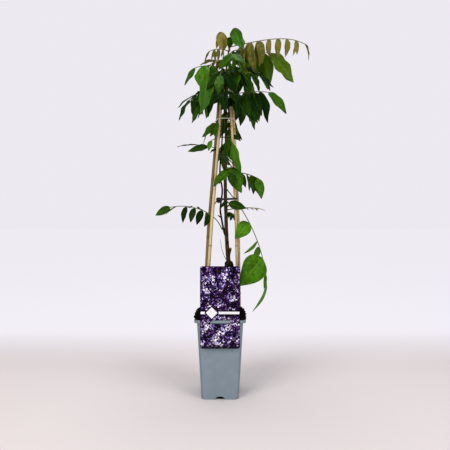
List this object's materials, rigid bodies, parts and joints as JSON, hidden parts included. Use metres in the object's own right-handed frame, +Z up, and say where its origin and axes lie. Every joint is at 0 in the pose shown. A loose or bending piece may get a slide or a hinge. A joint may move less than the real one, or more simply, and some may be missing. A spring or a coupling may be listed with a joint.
{
  "type": "potted wisteria",
  "caption": "Young wisteria in a tall square grey nursery pot, trained on bamboo canes, with a printed label hooked on the rim.",
  "frame": {"origin": "centre of the pot's flat underside, on the ground", "axes": "+Z up along the canes; -Y towards the front, the side with the label; +X to the right seen from the front"},
  "size_m": [0.3891, 0.2414, 0.9211],
  "materials": {
    "pot_plastic": "satin",
    "soil": "rough crumbs",
    "bamboo": "smooth rind",
    "bark": "rough",
    "label_print": "printed sheet",
    "ring_plastic": "coated wire",
    "tie_rubber": "matt",
    "leaf_green": "satin, thin",
    "leaf_bronze": "satin, thin"
  },
  "bodies": {
    "root": {"pot": "pot_plastic", "cane_front_left": "bamboo", "cane_front_right": "bamboo", "cane_back_left": "bamboo", "cane_back_right": "bamboo", "stem": "bark", "soil": "soil", "label": "label_print", "cane_ring": "ring_plastic", "stem_tie": "tie_rubber", "leaf_bronze_right": "leaf_bronze", "leaf_right_upper": "leaf_green", "leaf_hanging_front": "leaf_green", "leaf_left_long": "leaf_green", "leaf_right_middle": "leaf_green", "leaf_left_upper": "leaf_green", "leaf_right_lower": "leaf_green", "leaf_left_lower": "leaf_green", "leaf_left_front": "leaf_green", "leaf_apex_green": "leaf_green", "leaf_bronze_apex": "leaf_bronze", "leaf_bronze_left": "leaf_bronze", "leaf_bronze_top_left": "leaf_bronze", "leaf_front_middle": "leaf_green", "leaf_front_lower": "leaf_green", "leaf_right_front": "leaf_green", "leaf_front_upper": "leaf_green", "leaf_front_crown": "leaf_green", "leaf_front_ring": "leaf_green", "leaf_front_deep": "leaf_green", "leaf_right_inner": "leaf_green", "leaf_left_small": "leaf_green", "leaf_left_row": "leaf_green", "leaf_right_small": "leaf_green", "leaf_bronze_bud_right": "leaf_bronze", "leaf_bronze_shoot": "leaf_bronze", "leaf_low_right": "leaf_green", "leaf_low_green": "leaf_green", "leaf_back_top": "leaf_green", "leaf_back_upper": "leaf_green", "leaf_back_left": "leaf_green", "leaf_back_right": "leaf_green", "leaf_back_middle": "leaf_green", "leaf_back_low": "leaf_green", "leaf_front_dark": "leaf_green", "leaf_top_front": "leaf_green", "leaf_left_tucked": "leaf_green"}
  },
  "joints": []
}
